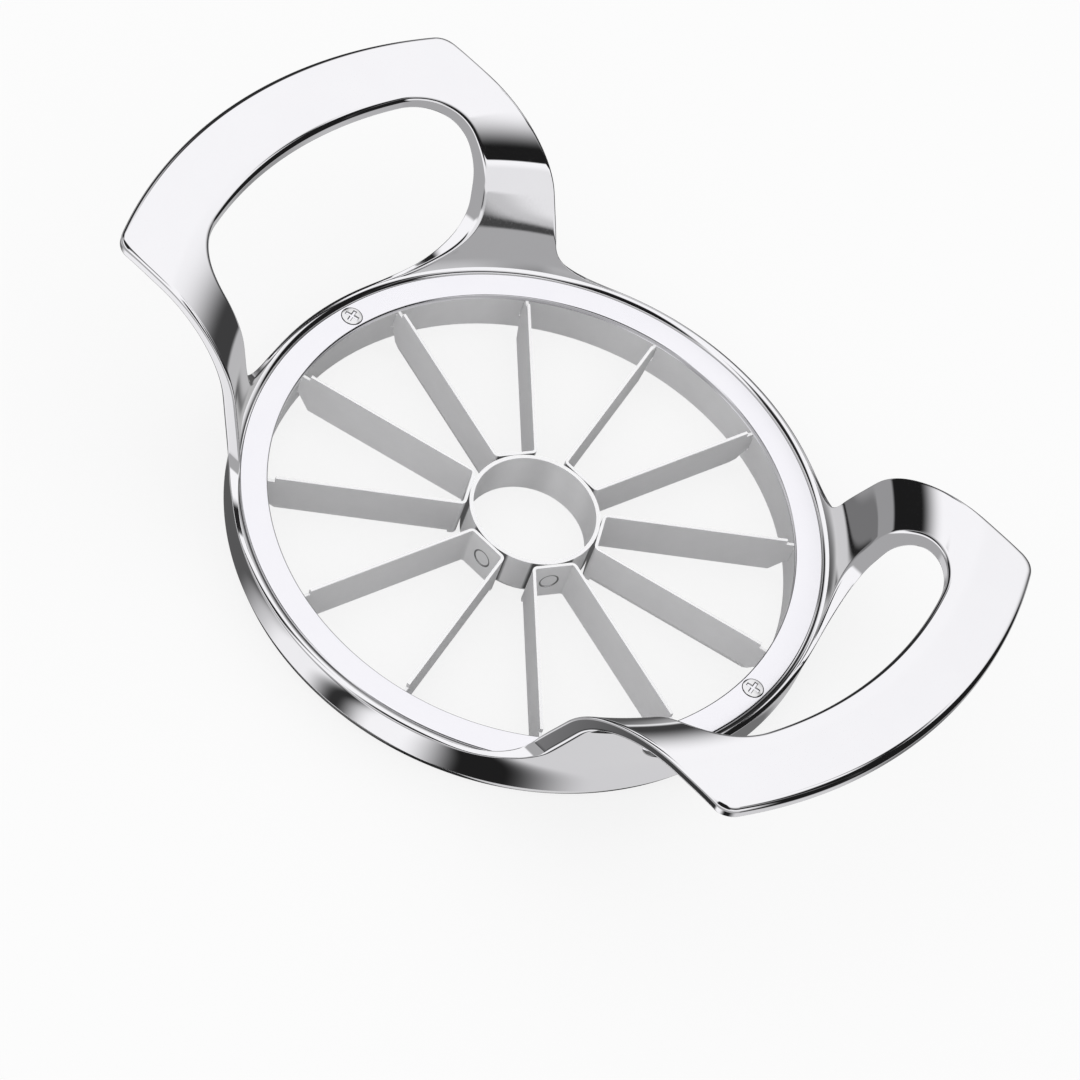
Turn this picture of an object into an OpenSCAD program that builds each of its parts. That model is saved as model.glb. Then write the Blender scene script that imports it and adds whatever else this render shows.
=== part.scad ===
// Fruit wedger with a round twelve-wedge cutter in a cast ring with two raised handles.
// The ring stands on its lower edge at z = 0 with its axis on Z. The handles lie along X.
// All lengths are in millimetres and all angles in degrees.

/* [Cutting ring] */
// Diameter of the opening that the fruit goes through
cut_d = 104; // [98:1:110]
// Height of the cover's face, and of the blades, above the board
ring_h = 9.5; // [9:0.5:14]
// Width of the flat cover ring
cover_w = 5.3; // [5.2:0.1:7]
// Thickness of the cover ring
cover_t = 1.2; // [1.1:0.1:1.6]
// Radius on the cover's upper edges
cover_edge_r = 0.35; // [0.1:0.05:0.5]
// Gap round a piece in its seat
seat_gap = 0.15; // [0.1:0.05:0.25]

/* [Casting] */
// Thickness of the skirt round the ring
skirt_t = 1.75; // [1.5:0.05:3]
// Rise of the skirt's lip above the cover
lip_rise = 0.6; // [0.3:0.1:1.2]
// Width of the lip left in front of a handle's foot
lip_ledge = 0.8; // [0.5:0.1:1]
// Radius on the lip's edges
lip_r = 0.4; // [0.2:0.1:0.6]
// Radius on the skirt's lower outer edge
foot_r = 1.2; // [0.5:0.1:1.5]
// Thickness of the ledge that carries the cover
ledge_t = 2.1; // [1.8:0.1:3]
// Width of the step that carries the blade band's rim
rim_seat_w = 0.9; // [0.7:0.1:1.2]

/* [Handles] */
// Overall length over both grips
overall_l = 180.2; // [174:0.2:196]
// Overall width over the arms of a handle
handle_w = 88.8; // [80:0.2:96]
// Height of the grips above the board
grip_h = 44; // [40:1:50]
// Width of a grip, from its outer edge to the finger opening
grip_w = 14.2; // [12:0.1:16]
// Width of each arm
arm_w = 9.8; // [8:0.1:14]
// Thickness of the handle
handle_t = 2.6; // [2:0.1:3.2]
// Lean of the arms out of the vertical
arm_lean = 15; // [10:1:20]
// Radius of the bend from an arm into the grip, on its upper face
bend_r = 18.4; // [14:0.1:20]
// Radius of the grip's outer corners
grip_corner_r = 4.5; // [3:0.5:10]
// Radius of the finger opening's corners under the grip
opening_corner_r = 14; // [8:1:16]
// Lean of the finger opening's sides out of the vertical, wider at the grip
opening_lean = 6.6; // [3:0.2:9]
// Radius where an arm's outer side runs into the lip
root_outer_r = 8; // [4:1:10]
// Radius where the finger opening runs into the lip
root_inner_r = 15; // [8:1:18]
// Radius on the grip's upper outer edge
grip_edge_r = 1.1; // [0.5:0.1:1.5]

/* [Blades] */
// Thickness of the blade strip
blade_t = 0.6; // [0.5:0.05:0.8]
// Inner diameter of the core ring
core_d = 24.2; // [20:0.1:28]
// Thickness of the core ring's wall
core_t = 0.8; // [0.6:0.1:1.2]
// Length of the flat foot where a folded strip meets the core ring
strip_foot_l = 6.8; // [5:0.1:7]
// Inner radius of the strip's folds
fold_r = 0.6; // [0.4:0.1:1]
// Depth of the ground cutting edge
edge_depth = 1.2; // [0.8:0.1:2]
// Thickness left at the cutting edge
edge_t = 0.15; // [0.1:0.05:0.3]
// Gap between a strip's foot and the core ring
foot_gap = 0.05; // [0.02:0.01:0.1]
// Diameter of the spot weld's dimple on each foot
weld_d = 3.6; // [2.5:0.1:4]
// Depth of that dimple
weld_depth = 0.08; // [0.04:0.01:0.15]

/* [Blade band] */
// Thickness of the slotted band
band_t = 0.6; // [0.5:0.05:0.8]
// Step of the band's inner face behind the cover's edge
band_step = 0.15; // [0.1:0.05:0.3]
// Width of the band's rim, outside its wall
rim_w = 1.65; // [1.4:0.05:1.8]
// Thickness of that rim
rim_t = 0.6; // [0.5:0.05:0.8]
// Width of a slot
slot_w = 1; // [0.9:0.05:1.4]
// Lowest point of a slot
slot_low = 3.4; // [2.5:0.1:4]
// Height of a slot
slot_h = 4; // [3:0.1:4.2]

/* [Blade ends] */
// Reach of a tab beyond the band
tab_reach = 0.55; // [0.4:0.05:0.7]
// Gap above and below a tab in its slot
tab_gap = 0.2; // [0.1:0.05:0.3]
// Length of the notch in the blade's upper corner
notch_l = 1.6; // [1:0.1:2.5]
// Depth of that notch
notch_h = 1.1; // [0.8:0.1:1.2]
// Length of the bevel on the blade's lower corner
heel_l = 3; // [1:0.1:5]

/* [Screws] */
// Diameter of a screw's head
screw_head_d = 4.6; // [4:0.1:4.8]
// Diameter of a screw's shank
screw_d = 2.5; // [2:0.1:2.6]
// Length of a screw
screw_l = 7; // [5:0.1:7.5]
// Gap between a screw's shank and its hole
shank_gap = 0.1; // [0.05:0.01:0.15]
// Angle of the screws from the handles' axis
screw_angle = 4.2; // [0:0.1:8]
// Diameter of the boss that takes a screw
boss_d = 6.4; // [5.5:0.1:7]

/* [Hidden] */
$fn = 144;
strip_count = 6;
// Flat steps that each of a strip's folds is made of
fold_steps = 8;
// Overlap where pieces of one solid are joined, and run-out of the cuts
join = 0.2;
clear_cut = 5;
beyond = overall_l;

// Ring: radii from the inside out
cut_r = cut_d / 2;
cover_r = cut_r + cover_w;
seat_r = cover_r + seat_gap;
body_r = seat_r + skirt_t;
band_in_r = cut_r + band_step;
band_out_r = band_in_r + band_t;
rim_r = band_out_r + rim_w;
rim_seat_r = rim_r + seat_gap;
ledge_r = rim_seat_r - rim_seat_w - seat_gap;
screw_r = (cut_r + cover_r) / 2;

// Ring: heights
cover_z = ring_h - cover_t;
rim_z = cover_z - rim_t;
lip_z = ring_h + lip_rise;
ledge_z = cover_z - ledge_t;

// Handle: the bend's centre, worked out so that the arm's outer face starts at the lip's edge
grip_r = overall_l / 2;
opening_r = grip_r - grip_w;
arm_y = handle_w / 2;
opening_y = arm_y - arm_w;
under_bend_r = bend_r - handle_t;
bend_z = grip_h - bend_r;
arm_top_z = bend_z + under_bend_r * sin(arm_lean);
arm_top_r = body_r + (arm_top_z - lip_z) * tan(arm_lean);
bend_centre_r = arm_top_r + under_bend_r * cos(arm_lean);
arm_in_top_r = bend_centre_r - bend_r * cos(arm_lean);
arm_in_top_z = bend_z + bend_r * sin(arm_lean);
// The arm's inner face drops straight to the lip from where its lean reaches the ledge
arm_foot_r = seat_r + lip_ledge;
arm_foot_z = arm_in_top_z - (arm_in_top_r - arm_foot_r) / tan(arm_lean);

// Folded strip: plan of one half, with the strip's middle on +X
pitch = 360 / (2 * strip_count);
core_in_r = core_d / 2;
core_out_r = core_in_r + core_t;
foot_x = core_out_r + foot_gap;
fold_x = foot_x + blade_t + fold_r;
fold_y = strip_foot_l / 2;
fold_mid_r = fold_r + blade_t / 2;
slot_r = (band_in_r + band_out_r) / 2;
slot_dx = slot_r * cos(pitch / 2) - fold_x;
slot_dy = slot_r * sin(pitch / 2) - fold_y;
slot_reach = norm([slot_dx, slot_dy]);
leg_angle = atan2(slot_dy, slot_dx) - asin(fold_mid_r / slot_reach);
leg_l = sqrt(slot_reach * slot_reach - fold_mid_r * fold_mid_r);
// Lengths of a leg from its fold: to where the blade ends and to the end of its tab
blade_end = leg_l - band_t / 2 - band_step;
tab_end = leg_l + band_t / 2 + tab_reach;

// Cross-sections, drawn in the X-Y plane as radius and height

// A rectangle with rounded upper corners
module topped_section(x0, x1, z0, z1, r) {
  translate([x0, z0]) square([x1 - x0, z1 - z0 - r]);
  translate([x0 + r, z0]) square([x1 - x0 - 2 * r, z1 - z0]);
  for (x = [x0 + r, x1 - r]) translate([x, z1 - r]) circle(r = r);
}

// A band between two radii, from one angle to the other, less than half a turn
module arc_section(r_in, r_out, from, to) {
  far = 2 * r_out;
  intersection() {
    difference() {
      circle(r = r_out);
      circle(r = r_in);
    }
    polygon([
      [0, 0],
      [far * cos(from), far * sin(from)],
      [far * cos((from + to) / 2), far * sin((from + to) / 2)],
      [far * cos(to), far * sin(to)]
    ]);
  }
}

module skirt_section() {
  intersection() {
    topped_section(seat_r, body_r, 0, lip_z, lip_r);
    union() {
      translate([seat_r, foot_r]) square([skirt_t, lip_z]);
      translate([seat_r, 0]) square([skirt_t - foot_r, lip_z]);
      translate([body_r - foot_r, foot_r]) circle(r = foot_r);
    }
  }
}

module ledge_section() {
  difference() {
    translate([ledge_r, ledge_z]) square([seat_r + join - ledge_r, ledge_t]);
    translate([ledge_r - join, rim_z]) square([rim_seat_r + join - ledge_r, ledge_t]);
  }
}

// The arm from the lip up to its bend, the bend and the flat grip with its rounded edge
module handle_section() {
  polygon([
    [arm_foot_r, lip_z - join - lip_r],
    [body_r, lip_z - join - lip_r],
    [body_r, lip_z],
    [arm_top_r, arm_top_z],
    [arm_in_top_r, arm_in_top_z],
    [arm_foot_r, arm_foot_z]
  ]);
  translate([bend_centre_r, bend_z]) arc_section(under_bend_r, bend_r, 90, 180 - arm_lean);
  translate([bend_centre_r - join / 10, grip_h - handle_t]) {
    square([grip_r - bend_centre_r - grip_edge_r + join / 10, handle_t]);
    square([grip_r - bend_centre_r + join / 10, handle_t - grip_edge_r]);
  }
  translate([grip_r - grip_edge_r, grip_h - grip_edge_r]) circle(r = grip_edge_r);
}

// Plan of a round-ended shape inside a disc of radius r and half_w wide each way, with rounded corners
module rounded_plan(r, half_w, corner) {
  corner_y = half_w - corner;
  corner_x = sqrt(pow(r - corner, 2) - pow(corner_y, 2));
  tip_y = corner_y * r / (r - corner);
  intersection() {
    circle(r = r);
    square([beyond, 2 * tip_y], center = true);
  }
  square([2 * corner_x, 2 * half_w], center = true);
  for (sx = [-1, 1], sy = [-1, 1]) translate([sx * corner_x, sy * corner_y]) circle(r = corner);
}

// Turns a front outline in Y and Z into a bar along X
module bar_along_x() {
  rotate([90, 0, 90]) translate([0, 0, -beyond]) linear_extrude(height = 2 * beyond) children();
}

// Front outline of both arms, with the flares where they run out into the lip
module handle_front() {
  low = lip_z - lip_r - 2 * join;
  translate([-arm_y, low]) square([handle_w, grip_h + clear_cut - low]);
  for (side = [0, 1]) mirror([side, 0]) difference() {
    translate([arm_y - join, low]) square([root_outer_r + join, lip_z + root_outer_r - low]);
    translate([arm_y + root_outer_r, lip_z + root_outer_r]) circle(r = root_outer_r);
  }
}

// Front outline of the finger opening: leaning sides that run into rounded lower corners
module opening_front() {
  corner_z = lip_z + root_inner_r;
  side_z = corner_z - root_inner_r * sin(opening_lean);
  side_y = opening_y - (grip_h - side_z) * tan(opening_lean);
  corner_y = side_y - root_inner_r * cos(opening_lean);
  translate([-corner_y, lip_z]) square([2 * corner_y, grip_h]);
  for (side = [0, 1]) mirror([side, 0]) translate([corner_y, corner_z]) rotate(-opening_lean) {
    circle(r = root_inner_r);
    translate([-root_inner_r / 2, 0]) square([1.5 * root_inner_r, grip_h]);
  }
}

module finger_openings() {
  intersection() {
    linear_extrude(height = grip_h + clear_cut)
      rounded_plan(opening_r, opening_y + join, opening_corner_r);
    bar_along_x() opening_front();
  }
}

module handles() {
  difference() {
    intersection() {
      rotate_extrude() handle_section();
      bar_along_x() handle_front();
    }
    translate([0, 0, arm_top_z]) linear_extrude(height = grip_h) difference() {
      circle(r = grip_r + clear_cut);
      rounded_plan(grip_r, arm_y, grip_corner_r);
    }
    finger_openings();
  }
}

// Places what it is given at both screws
module at_screws() {
  for (a = [screw_angle, 180 - screw_angle]) rotate(a) translate([screw_r, 0, 0]) children();
}

module screw_bosses() {
  boss_low = ring_h - screw_l - screw_d / 2;
  intersection() {
    at_screws() translate([0, 0, boss_low]) cylinder(h = rim_z - boss_low, d = boss_d);
    difference() {
      cylinder(h = cover_z, r = seat_r + join);
      translate([0, 0, -clear_cut]) cylinder(h = ring_h + 2 * clear_cut, r = band_out_r + seat_gap);
    }
  }
}

module cast_body() {
  color("gainsboro") difference() {
    union() {
      rotate_extrude() skirt_section();
      rotate_extrude() ledge_section();
      handles();
      screw_bosses();
    }
    at_screws() translate([0, 0, ring_h - screw_l]) cylinder(h = screw_l + clear_cut, d = screw_d);
  }
}

module cover_ring() {
  sink = (screw_head_d - screw_d) / 2;
  color("ghostwhite") difference() {
    rotate_extrude() topped_section(cut_r, cover_r, cover_z, ring_h, cover_edge_r);
    at_screws() {
      translate([0, 0, cover_z - join]) cylinder(h = cover_t + 2 * join, d = screw_d + 2 * seat_gap);
      translate([0, 0, ring_h - sink]) cylinder(h = sink, d1 = screw_d, d2 = screw_head_d);
    }
  }
}

module blade_band() {
  color("darkgray") difference() {
    rotate_extrude() {
      polygon([
        [band_in_r, 0],
        [band_in_r + edge_t, 0],
        [band_out_r, edge_depth],
        [band_out_r, cover_z],
        [band_in_r, cover_z]
      ]);
      translate([band_out_r - join, rim_z]) square([rim_w + join, rim_t]);
    }
    for (i = [0 : 2 * strip_count - 1]) rotate((i + 0.5) * pitch)
      translate([slot_r - band_t, -slot_w / 2, slot_low]) cube([2 * band_t, slot_w, slot_h]);
    at_screws() translate([0, 0, rim_z - join]) cylinder(h = rim_t + 2 * join, d = screw_d + 2 * seat_gap);
  }
}

module core_ring() {
  color("darkgray") rotate_extrude() polygon([
    [core_in_r, 0],
    [core_in_r + edge_t, 0],
    [core_out_r, edge_depth],
    [core_out_r, ring_h],
    [core_in_r, ring_h]
  ]);
}

// Places what it is given along both legs:
// X runs outward from the fold's end and Y across the strip's thickness
module at_legs() {
  for (side = [0, 1]) mirror([0, side, 0])
    translate([fold_x, fold_y, 0]) rotate(leg_angle) translate([0, fold_r, 0]) children();
}

// One side of the folded strip in plan, r from the fold's centre: from the tab's end to the foot
function half_path(r) = concat(
  [[
    fold_x - r * sin(leg_angle) + tab_end * cos(leg_angle),
    fold_y + r * cos(leg_angle) + tab_end * sin(leg_angle)
  ]],
  [
    for (step = [0 : fold_steps])
      let (a = 90 + leg_angle + (90 - leg_angle) * step / fold_steps)
        [fold_x + r * cos(a), fold_y + r * sin(a)]
  ]
);

function backwards(path) = [for (k = [len(path) - 1 : -1 : 0]) path[k]];

// The whole of that side, from one tab to the other
function whole_path(r) = concat(half_path(r), [for (p = backwards(half_path(r))) [p[0], -p[1]]]);

// Side view of what is cut off above the tab, with the notch that lets the blade pass the cover
module above_tab() {
  polygon([
    [blade_end - notch_l, ring_h + join],
    [blade_end - notch_l, ring_h - notch_h],
    [blade_end, ring_h - notch_h],
    [blade_end, slot_low + slot_h - tab_gap],
    [tab_end + join, slot_low + slot_h - tab_gap],
    [tab_end + join, ring_h + join]
  ]);
}

// Side view of what is cut off below the tab, with the bevel on the blade's corner
module below_tab() {
  tab_low = slot_low + tab_gap;
  polygon([
    [blade_end - heel_l * (tab_low + join) / tab_low, -join],
    [tab_end + join, -join],
    [tab_end + join, tab_low],
    [blade_end, tab_low]
  ]);
}

// End view of what is ground off a leg's outer side, down to the cutting edge
module ground_off() {
  slope = (blade_t - edge_t) / edge_depth;
  polygon([
    [edge_t - join * slope, -join],
    [blade_t + join, -join],
    [blade_t + join, edge_depth + join / slope]
  ]);
}

// A folded strip: two blades joined by the foot that is spot welded to the core ring
module blade_strip(i) {
  color("silver") rotate((i - 1) * 2 * pitch + pitch) difference() {
    linear_extrude(height = ring_h)
      polygon(concat(whole_path(fold_r + blade_t), backwards(whole_path(fold_r))));
    at_legs() {
      translate([0, blade_t + join, 0]) rotate([90, 0, 0]) linear_extrude(height = blade_t + 2 * join) {
        above_tab();
        below_tab();
      }
      translate([fold_r, 0, 0]) rotate([90, 0, 90]) linear_extrude(height = tab_end) ground_off();
    }
    translate([foot_x + blade_t - weld_depth, 0, ring_h / 2])
      rotate([0, 90, 0]) cylinder(h = blade_t, d = weld_d);
  }
}

module cross_recess(width, across, depth) {
  for (a = [0, 90]) rotate(a)
    translate([-across / 2, -width / 2, -depth]) cube([across, width, depth + join]);
}

module cover_screws() {
  sink = (screw_head_d - screw_d) / 2;
  shank_r = screw_d / 2 - shank_gap;
  color("lightgray") at_screws() difference() {
    rotate_extrude() polygon([
      [0, ring_h - screw_l + shank_gap],
      [shank_r, ring_h - screw_l + shank_gap],
      [shank_r, ring_h - sink],
      [shank_r + sink, ring_h],
      [0, ring_h]
    ]);
    translate([0, 0, ring_h]) cross_recess(screw_d / 4, screw_head_d * 0.6, sink / 2);
  }
}

cast_body();
cover_ring();
blade_band();
core_ring();
for (i = [1:strip_count]) blade_strip(i);
cover_screws();
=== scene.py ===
import math
from collections import namedtuple

import bpy
import numpy as np
from mathutils import Matrix, Vector
from mathutils.geometry import delaunay_2d_cdt


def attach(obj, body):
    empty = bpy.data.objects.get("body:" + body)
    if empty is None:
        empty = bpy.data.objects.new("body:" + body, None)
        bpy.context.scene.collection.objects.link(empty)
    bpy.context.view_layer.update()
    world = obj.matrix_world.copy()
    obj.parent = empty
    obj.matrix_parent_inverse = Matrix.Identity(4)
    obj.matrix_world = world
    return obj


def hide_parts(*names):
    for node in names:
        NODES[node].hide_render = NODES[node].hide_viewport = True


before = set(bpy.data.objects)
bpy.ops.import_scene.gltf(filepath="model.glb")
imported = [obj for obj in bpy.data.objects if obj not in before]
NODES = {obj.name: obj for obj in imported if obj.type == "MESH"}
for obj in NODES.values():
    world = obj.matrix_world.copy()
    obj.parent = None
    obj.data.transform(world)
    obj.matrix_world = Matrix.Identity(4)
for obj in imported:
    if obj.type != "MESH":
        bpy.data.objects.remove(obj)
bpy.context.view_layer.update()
MM = 0.001

# ---------------------------------------------------------------- sizes, millimetres and degrees

# Radii of the ring: cutting opening, cover, the cover's seat and the outer face
CUT_R, COVER_R, SEAT_R, BODY_R = 52.0, 57.3, 57.45, 59.2
# Heights: the casting's lip, the cover's top and its underside
LIP_Z, RING_Z, COVER_Z = 10.1, 9.5, 8.3
# The lip's outer edge lies a little lower, and the drop fades out over this height
LIP_DROP, LIP_DROP_RISE = 0.22, 7.0
# The ledge that carries the cover: where the band's rim lies on it, and its inner face
RIM_R, RIM_Z, LEDGE_R, LEDGE_LOW_Z = 54.55, 7.7, 53.65, 6.2
# The skirt's inner face at the foot, and the height at which the skirt's sheet starts
FOOT_TOP_R, FOOT_S = 58.45, 2.5
# The handles: outer radius, half width, top, thickness, the arms' lean and the bend under the grip
GRIP_R, ARM_Y, GRIP_Z = 90.1, 44.4, 44.0
HANDLE_T, LEAN, BEND_R = 2.6, 15.0, 18.4
# The finger openings: outer radius, half width at the grip and the lean of their sides
OPENING_R, OPENING_Y, OPENING_LEAN = 75.9, 34.6, 6.6
# Corners of the grip, of the opening, of the arm's root outside and of the opening at the lip
CORNER_R, OPENING_CORNER_R, FLARE_R, ROOT_R = 4.5, 14.0, 8.0, 18.0
# Edge radii of the sheet's outline, on its outer face ("under") and its inner face ("top")
EDGE_R = {
    "lip": {"under": 0.85, "top": 0.05},
    "flare": {"under": 0.3, "top": 0.42},
    "arm": {"under": 0.7, "top": 0.85},
    "grip": {"under": 0.3, "top": 1.3},
    "opening": {"under": 0.3, "top": 0.85},
    "foot": {"under": 0.05, "top": 0.05},
}
# The screws' circle, and how far round it they sit from the handles' axis
SCREW_R, SCREW_ANGLE = 54.65, 4.2
# Their bosses: radius, lower end, and the radius from the ring's axis where the band passes
BOSS_R, BOSS_LOW_Z, BAND_GAP_R = 3.2, 1.25, 52.95
# Both screws: angle about the ring's axis, and turn of the cross recess
SCREWS = [(math.radians(SCREW_ANGLE), math.radians(12)),
          (math.pi - math.radians(SCREW_ANGLE), math.radians(17))]
# A screw: radii of head and shank, length, and the head's crown, rounded edge and lift
HEAD_R, SHANK_R, SCREW_L = 2.28, 1.13, 6.85
HEAD_CROWN, HEAD_EDGE_R, HEAD_LIFT = 0.22, 0.5, 0.1
# Its recess: the arms' reach and half width, the width of their walls and the depth
RECESS_ARM, RECESS_HALF, RECESS_WALL, RECESS_DEPTH = 1.45, 0.4, 0.36, 0.6
# From this distance off its axis on, a screw lies in the gap round its head, which gets painted
# shade
HEAD_GAP_R = 2.05


# ---------------------------------------------------------------- mesh helpers

def add_mesh(name, v, n, f):
    """A mesh object from millimetre points, their normals and faces."""
    mesh = bpy.data.meshes.new(name)
    mesh.from_pydata([tuple(point) for point in v * MM], [], f)
    mesh.validate()
    mesh.update()
    mesh.shade_smooth()
    n = n / np.maximum(np.linalg.norm(n, axis=1, keepdims=True), 1e-9)
    mesh.normals_split_custom_set_from_vertices([tuple(normal) for normal in n])
    obj = bpy.data.objects.new(name, mesh)
    bpy.context.scene.collection.objects.link(obj)
    return obj


class Builder:
    """Gathers the points, normals and faces of several forms in one mesh."""

    def __init__(self):
        self.v, self.n, self.f = [], [], []

    def add(self, v, n, f):
        base = sum(len(points) for points in self.v)
        self.v.append(v)
        self.n.append(n)
        self.f += [tuple(base + i for i in face) for face in f]

    def arrays(self):
        return np.vstack(self.v), np.vstack(self.n), self.f


def weld(v, n, f, digits=4, normal_weight=0.05):
    """Welds points that share a place and a normal, and drops the faces that vanish."""
    key = np.round(np.hstack([v, n * normal_weight]), digits) + 0.0
    _, first, inverse = np.unique(key, axis=0, return_index=True, return_inverse=True)
    inverse = inverse.reshape(-1)
    faces = []
    for face in f:
        corners = tuple(dict.fromkeys(int(inverse[i]) for i in face))
        if len(corners) >= 3:
            faces.append(corners)
    return v[first], n[first], faces


def facing_out(v, n, faces):
    """The faces, each turned to the side that its points' normals show."""
    out = []
    for face in faces:
        p = v[list(face)]
        if len(face) == 3:
            across = np.cross(p[1] - p[0], p[2] - p[0])
        else:
            across = np.cross(p[2] - p[0], p[3] - p[1])
        out.append(face if across @ n[list(face)].sum(0) >= 0 else face[::-1])
    return out


def quads(rows, count, every=1, closed=True):
    """Quads from a row of points to the next; the ends of a closed row are joined."""
    faces = []
    for row in range(0, rows - 1, every):
        low, high = row * count, (row + 1) * count
        for i in range(count if closed else count - 1):
            j = (i + 1) % count
            faces.append((low + i, low + j, high + j, high + i))
    return faces


def ring_of(x, y, z):
    """A ring of points or of normals; each part is one number or one for each point."""
    return np.stack(np.broadcast_arrays(x, y, z), 1)


def circle(count):
    """Cosines and sines of the angles of a full circle."""
    angle = np.arange(count) * 2 * math.pi / count
    return np.cos(angle), np.sin(angle)


def stack_of_rings(points, normals, capped=False):
    """Rings of points, one under the other, joined by faces that look outwards."""
    rings, count = len(points), len(points[0])
    faces = [(a, d, c, b) for a, b, c, d in quads(rings, count)]
    if capped:
        faces.append(tuple(range(count)))
        faces.append(tuple(range((rings - 1) * count, rings * count))[::-1])
    v, n = np.vstack(points), np.vstack(normals)
    return v, n, facing_out(v, n, faces)


def lathe(profile, steps=288):
    """A closed profile of (r, z, sharp) points, turned; a sharp point splits the normals."""
    points = np.array([p[:2] for p in profile], float)
    edge = np.roll(points, -1, 0) - points
    edge_n = np.stack([edge[:, 1], -edge[:, 0]], 1)
    edge_n /= np.maximum(np.linalg.norm(edge_n, axis=1, keepdims=True), 1e-9)
    c, s = circle(steps)
    v, n = [], []
    for i in range(len(points)):
        for k in (i, (i + 1) % len(points)):
            r, z = points[k]
            if profile[k][2]:
                m = edge_n[i]
            else:
                m = edge_n[k - 1] + edge_n[k]
                m = m / np.linalg.norm(m)
            v.append(ring_of(r * c, r * s, z))
            n.append(ring_of(m[0] * c, m[0] * s, m[1]))
    return np.vstack(v), np.vstack(n), quads(len(v), steps, every=2)


# ---------------------------------------------------------------- the casting's sheet

def smooth_turn(s, theta, sigma):
    """Softens the steps of an angle along a profile, over about sigma millimetres."""
    ds = s[1] - s[0]
    reach = int(4 * sigma / ds)
    kernel = np.exp(-0.5 * (np.arange(-reach, reach + 1) * ds / sigma) ** 2)
    kernel /= kernel.sum()
    padded = np.concatenate([np.full(reach, theta[0]), theta, np.full(reach, theta[-1])])
    return np.convolve(padded, kernel, "valid")


class Profile:
    """The casting's section: radius and height of both faces, as tables over the length s.

    The outer face, "under", rises upright from the board, leans outwards along the arms and
    bends level under the grip. The inner face, "top", lies HANDLE_T inside it.
    """

    # The tables' step, and how far they run on past the grip's edge
    STEP, OVERRUN = 0.05, 2
    # How softly the section turns at the lip, at the bend and where the inner face meets the foot
    CREASE_SOFT, BEND_SOFT, FOOT_SOFT = 2.2, 0.9, 0.5
    # The first millimetre stands upright
    UPRIGHT = 1.0
    # Each face's radius at the foot and height at the grip, and how far tables keep off them
    FOOT_R, OFF_FOOT = {"under": BODY_R, "top": FOOT_TOP_R}, 0.6
    LEVEL_Z, OFF_LEVEL = {"under": GRIP_Z - HANDLE_T, "top": GRIP_Z}, 0.02

    def __init__(self):
        lean, level = math.radians(LEAN), math.pi / 2
        under_r = BEND_R - HANDLE_T
        rise = GRIP_Z - BEND_R + under_r * math.sin(lean) - LIP_Z
        arm_s = LIP_Z + rise / math.cos(lean)
        bend_s = arm_s + under_r * (level - lean)
        bend_r = BODY_R + rise * math.tan(lean) + under_r * math.cos(lean)
        s = np.arange(0, bend_s + GRIP_R - bend_r + self.OVERRUN, self.STEP)

        # the face's angle to the upright
        theta = smooth_turn(s, np.where(s < LIP_Z, 0.0, lean), self.CREASE_SOFT)
        bend = np.minimum(lean + (s - arm_s) / under_r, level)
        theta = smooth_turn(s, np.where(s > arm_s, bend, theta), self.BEND_SOFT)
        theta[s < self.UPRIGHT] = 0
        theta = np.clip(theta, 0, level)

        middle = (theta[1:] + theta[:-1]) / 2
        r = BODY_R + np.concatenate([[0], np.cumsum(np.sin(middle) * self.STEP)])
        z = np.concatenate([[0], np.cumsum(np.cos(middle) * self.STEP)])
        # the softened turns cost a little height, which the bend gives back
        z += np.clip((s - arm_s) / (bend_s - arm_s), 0, 1) * (GRIP_Z - HANDLE_T - z[-1])
        top_r = r - HANDLE_T * np.cos(theta)
        top_r = FOOT_TOP_R + self.FOOT_SOFT * np.logaddexp(0, (top_r - FOOT_TOP_R) / self.FOOT_SOFT)

        self.s = s
        self.r = {"under": r, "top": top_r}
        self.z = {"under": z, "top": z + HANDLE_T * np.sin(theta)}
        self.slope = {}
        for side in ("under", "top"):
            dr, dz = np.gradient(self.r[side], self.STEP), np.gradient(self.z[side], self.STEP)
            length = np.hypot(dr, dz)
            self.slope[side] = (dr / length, dz / length, length)

    def at(self, side, s):
        """Radius and height at a length."""
        return np.interp(s, self.s, self.r[side]), np.interp(s, self.s, self.z[side])

    def along(self, side, s):
        """The face's direction in radius and height, and its true length for a step of s."""
        return tuple(np.interp(s, self.s, column) for column in self.slope[side])

    def s_of_z(self, side, z):
        """Length at a height, below the grip's level part."""
        rising = self.z[side] < self.LEVEL_Z[side] - self.OFF_LEVEL
        last = len(rising) if rising.all() else np.argmin(rising)
        return np.interp(z, self.z[side][:last], self.s[:last])

    def s_of_r(self, side, r):
        """Length at a radius, above the skirt's upright part."""
        first = np.argmax(self.r[side] > self.FOOT_R[side] + self.OFF_FOOT)
        return np.interp(r, self.r[side][first:], self.s[first:])


PROFILE = Profile()


def place(side, s, phi):
    """Points of a face, at lengths s and angles phi."""
    r, z = PROFILE.at(side, s)
    return np.stack([r * np.cos(phi), r * np.sin(phi), z], -1)


def face_normal(side, s, phi):
    dr, dz, _ = PROFILE.along(side, s)
    sign = 1 if side == "under" else -1
    return sign * np.stack([dz * np.cos(phi), dz * np.sin(phi), -dr], -1)


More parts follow.
